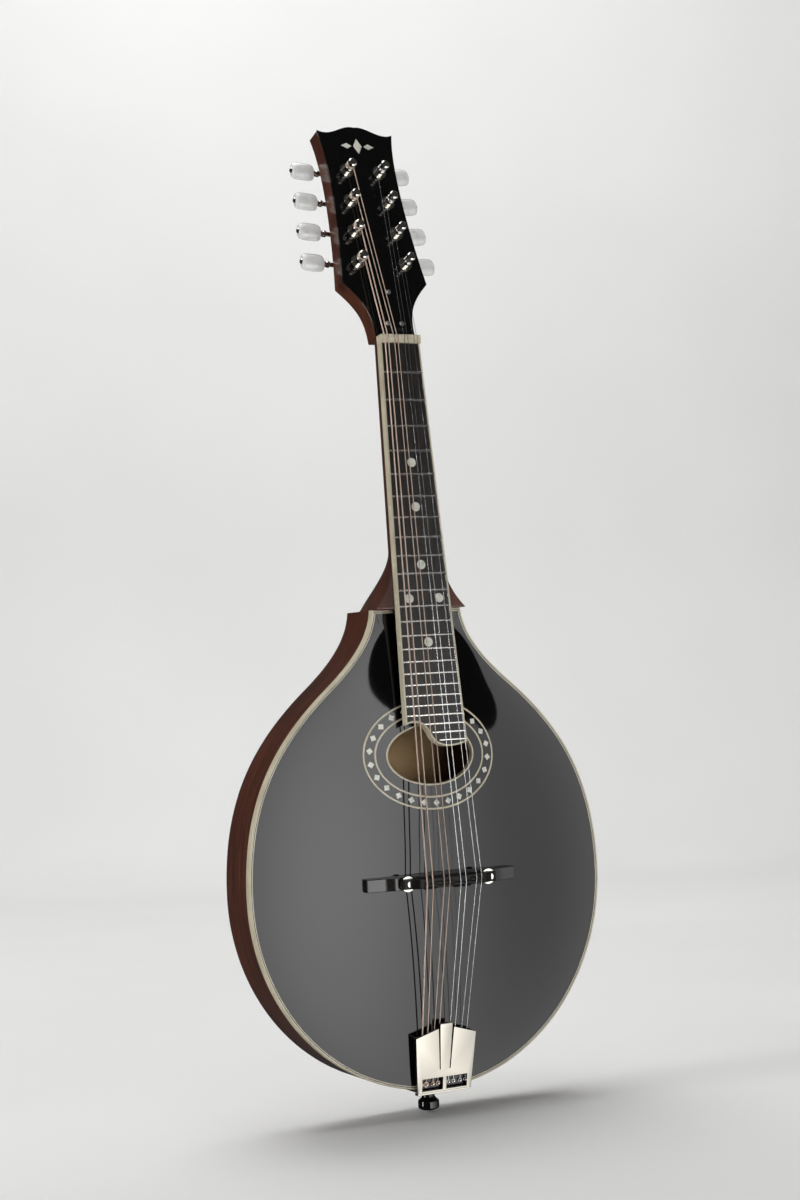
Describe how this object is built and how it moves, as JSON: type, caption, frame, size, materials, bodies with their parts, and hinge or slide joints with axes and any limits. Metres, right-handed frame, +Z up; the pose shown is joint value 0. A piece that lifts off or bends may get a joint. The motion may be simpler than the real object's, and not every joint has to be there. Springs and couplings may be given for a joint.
{
  "type": "mandolin",
  "caption": "Oval-hole mandolin with an arched black top, pear-shaped body, slim neck, paired strings, geared tuners, height-adjustable bridge and cast tailpiece.",
  "frame": {"origin": "on the neck's centre line, level with the nut's front edge and halfway through the neck's depth, where a wall hanger or stand yoke holds the neck", "axes": "+Z up the instrument from the tail to the headstock, -Y out of the face towards the player's audience, -X the bass side; the rim's plane is parallel to XZ"},
  "size_m": [0.2568, 0.1062, 0.666],
  "materials": {
    "black_lacquer": "thick black gloss lacquer over an arched spruce plate",
    "mahogany": "dark red-brown stained mahogany under gloss lacquer",
    "inner_wood": "bare sanded softwood",
    "ivory_plastic": "aged ivory plastic binding, polished",
    "pearl": "mother of pearl, polished flush",
    "paper": "aged blank paper",
    "black_veneer": "black-dyed wood under gloss lacquer",
    "steel": "bare steel",
    "ebony": "oiled ebony, low sheen",
    "fret_wire": "polished nickel silver",
    "bone": "polished bone",
    "nickel": "polished nickel plate",
    "tailpiece_nickel": "polished warm nickel, cast",
    "pearloid": "white pearloid plastic",
    "bronze_winding": "phosphor bronze winding",
    "plain_steel": "bright drawn steel wire"
  },
  "bodies": {
    "root": {"soundboard": "black_lacquer", "back_plate": "mahogany", "bass_side": "mahogany", "treble_side": "mahogany", "linings": "inner_wood", "head_block": "inner_wood", "tail_block": "inner_wood", "transverse_brace": "inner_wood", "top_binding": "ivory_plastic", "rosette_rings": "ivory_plastic", "rosette_diamonds": "pearl", "label": "paper", "neck": "mahogany", "headstock_overlay": "black_veneer", "heel_cap": "black_veneer", "truss_rod": "steel", "truss_rod_cover": "black_veneer", "fingerboard": "ebony", "fingerboard_binding": "ivory_plastic", "frets": "fret_wire", "pearl_inlays": "pearl", "nut": "bone", "bass_tuner_plate": "nickel", "treble_tuner_plate": "nickel", "tuner_bushings": "nickel", "small_screws": "nickel", "wound_strings": "bronze_winding", "plain_strings": "plain_steel", "bridge_base": "ebony", "bridge_studs": "nickel", "tailpiece": "tailpiece_nickel", "tailpiece_screws": "nickel", "end_button": "black_veneer"},
    "tuner_1": {"tuner_knob_1": "pearloid", "worm_shaft_1": "nickel"},
    "post_1": {"string_post_1": "nickel"},
    "tuner_2": {"tuner_knob_2": "pearloid", "worm_shaft_2": "nickel"},
    "post_2": {"string_post_2": "nickel"},
    "tuner_3": {"tuner_knob_3": "pearloid", "worm_shaft_3": "nickel"},
    "post_3": {"string_post_3": "nickel"},
    "tuner_4": {"tuner_knob_4": "pearloid", "worm_shaft_4": "nickel"},
    "post_4": {"string_post_4": "nickel"},
    "tuner_5": {"tuner_knob_5": "pearloid", "worm_shaft_5": "nickel"},
    "post_5": {"string_post_5": "nickel"},
    "tuner_6": {"tuner_knob_6": "pearloid", "worm_shaft_6": "nickel"},
    "post_6": {"string_post_6": "nickel"},
    "tuner_7": {"tuner_knob_7": "pearloid", "worm_shaft_7": "nickel"},
    "post_7": {"string_post_7": "nickel"},
    "tuner_8": {"tuner_knob_8": "pearloid", "worm_shaft_8": "nickel"},
    "post_8": {"string_post_8": "nickel"},
    "saddle": {"saddle": "ebony"},
    "bass_wheel": {"bass_thumbwheel": "nickel"},
    "treble_wheel": {"treble_thumbwheel": "nickel"}
  },
  "joints": [
    {"name": "tuner_turn_1", "type": "hinge", "parent": "root", "child": "tuner_1", "pos_m": [-0.01721, 0.03249, 0.05855], "axis": [-0.9971, 0.0228, 0.0727], "continuous": true},
    {"name": "post_turn_1", "type": "hinge", "parent": "root", "child": "post_1", "pos_m": [-0.01772, 0.0131, 0.05754], "axis": [0, 0.954, -0.2997], "continuous": true},
    {"name": "tuner_turn_2", "type": "hinge", "parent": "root", "child": "tuner_2", "pos_m": [-0.01542, 0.03952, 0.08091], "axis": [-0.9971, 0.0228, 0.0727], "continuous": true},
    {"name": "post_turn_2", "type": "hinge", "parent": "root", "child": "post_2", "pos_m": [-0.01593, 0.02012, 0.07989], "axis": [0, 0.954, -0.2997], "continuous": true},
    {"name": "tuner_turn_3", "type": "hinge", "parent": "root", "child": "tuner_3", "pos_m": [-0.01362, 0.04654, 0.10326], "axis": [-0.9971, 0.0228, 0.0727], "continuous": true},
    {"name": "post_turn_3", "type": "hinge", "parent": "root", "child": "post_3", "pos_m": [-0.01414, 0.02714, 0.10225], "axis": [0, 0.954, -0.2997], "continuous": true},
    {"name": "tuner_turn_4", "type": "hinge", "parent": "root", "child": "tuner_4", "pos_m": [-0.01183, 0.05356, 0.12562], "axis": [-0.9971, 0.0228, 0.0727], "continuous": true},
    {"name": "post_turn_4", "type": "hinge", "parent": "root", "child": "post_4", "pos_m": [-0.01235, 0.03417, 0.1246], "axis": [0, 0.954, -0.2997], "continuous": true},
    {"name": "tuner_turn_5", "type": "hinge", "parent": "root", "child": "tuner_5", "pos_m": [0.01721, 0.03249, 0.05855], "axis": [0.9971, 0.0228, 0.0727], "continuous": true},
    {"name": "post_turn_5", "type": "hinge", "parent": "root", "child": "post_5", "pos_m": [0.01772, 0.0131, 0.05754], "axis": [0, 0.954, -0.2997], "continuous": true},
    {"name": "tuner_turn_6", "type": "hinge", "parent": "root", "child": "tuner_6", "pos_m": [0.01542, 0.03952, 0.08091], "axis": [0.9971, 0.0228, 0.0727], "continuous": true},
    {"name": "post_turn_6", "type": "hinge", "parent": "root", "child": "post_6", "pos_m": [0.01593, 0.02012, 0.07989], "axis": [0, 0.954, -0.2997], "continuous": true},
    {"name": "tuner_turn_7", "type": "hinge", "parent": "root", "child": "tuner_7", "pos_m": [0.01362, 0.04654, 0.10326], "axis": [0.9971, 0.0228, 0.0727], "continuous": true},
    {"name": "post_turn_7", "type": "hinge", "parent": "root", "child": "post_7", "pos_m": [0.01414, 0.02714, 0.10225], "axis": [0, 0.954, -0.2997], "continuous": true},
    {"name": "tuner_turn_8", "type": "hinge", "parent": "root", "child": "tuner_8", "pos_m": [0.01183, 0.05356, 0.12562], "axis": [0.9971, 0.0228, 0.0727], "continuous": true},
    {"name": "post_turn_8", "type": "hinge", "parent": "root", "child": "post_8", "pos_m": [0.01235, 0.03417, 0.1246], "axis": [0, 0.954, -0.2997], "continuous": true},
    {"name": "bridge_height", "type": "slide", "parent": "root", "child": "saddle", "axis": [0, -1, 0], "range_m": [-0.0015, 0]},
    {"name": "bass_wheel_turn", "type": "hinge", "parent": "saddle", "child": "bass_wheel", "pos_m": [-0.0293, -0.03585, -0.35342], "axis": [0, -1, 0], "range_deg": [-775, 1]},
    {"name": "treble_wheel_turn", "type": "hinge", "parent": "saddle", "child": "treble_wheel", "pos_m": [0.0293, -0.03585, -0.35342], "axis": [0, -1, 0], "range_deg": [-775, 1]}
  ],
  "couplings": [
    {"joint": "post_turn_1", "follows": "tuner_turn_1", "ratio": 0.0625},
    {"joint": "post_turn_2", "follows": "tuner_turn_2", "ratio": 0.0625},
    {"joint": "post_turn_3", "follows": "tuner_turn_3", "ratio": 0.0625},
    {"joint": "post_turn_4", "follows": "tuner_turn_4", "ratio": 0.0625},
    {"joint": "post_turn_5", "follows": "tuner_turn_5", "ratio": 0.0625},
    {"joint": "post_turn_6", "follows": "tuner_turn_6", "ratio": 0.0625},
    {"joint": "post_turn_7", "follows": "tuner_turn_7", "ratio": 0.0625},
    {"joint": "post_turn_8", "follows": "tuner_turn_8", "ratio": 0.0625},
    {"joint": "bass_wheel_turn", "follows": "bridge_height", "rad_per_m": 8976},
    {"joint": "treble_wheel_turn", "follows": "bridge_height", "rad_per_m": 8976}
  ]
}
